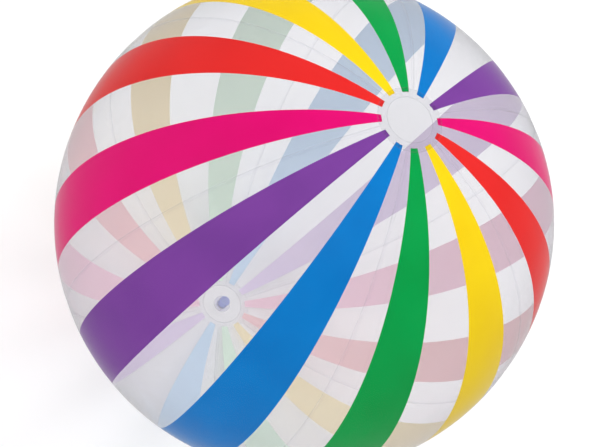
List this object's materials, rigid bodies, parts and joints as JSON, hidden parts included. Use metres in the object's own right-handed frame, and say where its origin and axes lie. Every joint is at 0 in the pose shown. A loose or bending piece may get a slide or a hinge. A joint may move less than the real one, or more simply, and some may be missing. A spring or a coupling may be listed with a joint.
{
  "type": "inflatable beach ball",
  "caption": "Large inflatable beach ball of clear vinyl gores with tapering rainbow stripes, a round cap at each pole and a push-in air valve.",
  "frame": {"origin": "the centre of the inflated ball", "axes": "+Z runs from the centre out through the plain end cap and -Z out through the valve; +X runs out through the weld seam between a blue stripe and a green stripe"},
  "size_m": [0.6808, 0.6798, 0.6833],
  "materials": {
    "clear_film": "clear soft vinyl film, glossy",
    "green_ink": "printed vinyl ink seen through glossy film, with a white backing",
    "yellow_ink": "printed vinyl ink seen through glossy film, with a white backing",
    "red_ink": "printed vinyl ink seen through glossy film, with a white backing",
    "magenta_ink": "printed vinyl ink seen through glossy film, with a white backing",
    "purple_ink": "printed vinyl ink seen through glossy film, with a white backing",
    "blue_ink": "printed vinyl ink seen through glossy film, with a white backing",
    "milky_vinyl": "soft moulded vinyl, milky",
    "valve_vinyl": "soft moulded vinyl, lavender-blue and half clear"
  },
  "bodies": {
    "ball": {"panel_1": "clear_film", "panel_2": "clear_film", "panel_3": "clear_film", "panel_4": "clear_film", "panel_5": "clear_film", "panel_6": "clear_film", "green_stripe_1": "green_ink", "yellow_stripe_1": "yellow_ink", "red_stripe_1": "red_ink", "magenta_stripe_1": "magenta_ink", "purple_stripe_1": "purple_ink", "blue_stripe_1": "blue_ink", "green_stripe_2": "green_ink", "yellow_stripe_2": "yellow_ink", "red_stripe_2": "red_ink", "magenta_stripe_2": "magenta_ink", "purple_stripe_2": "purple_ink", "blue_stripe_2": "blue_ink", "top_cap": "clear_film", "valve_cap": "clear_film", "valve_flange": "milky_vinyl"},
    "stem": {"valve_stem": "valve_vinyl"},
    "plug": {"valve_plug": "valve_vinyl", "plug_strap": "valve_vinyl"},
    "flap": {"check_flap": "valve_vinyl"}
  },
  "joints": [
    {"name": "stem_pull_out", "type": "slide", "parent": "ball", "child": "stem", "axis": [0, 0, -1], "range_m": [0, 0.01]},
    {"name": "plug_open", "type": "hinge", "parent": "stem", "child": "plug", "pos_m": [0.0092, 0, -0.342], "axis": [0, -1, 0], "range_deg": [0, 165]},
    {"name": "flap_open", "type": "hinge", "parent": "stem", "child": "flap", "pos_m": [-0.0069, 0, -0.32465], "axis": [0, -1, 0], "range_deg": [0, 70], "stiffness_Nm_per_rad": 0.00005}
  ]
}
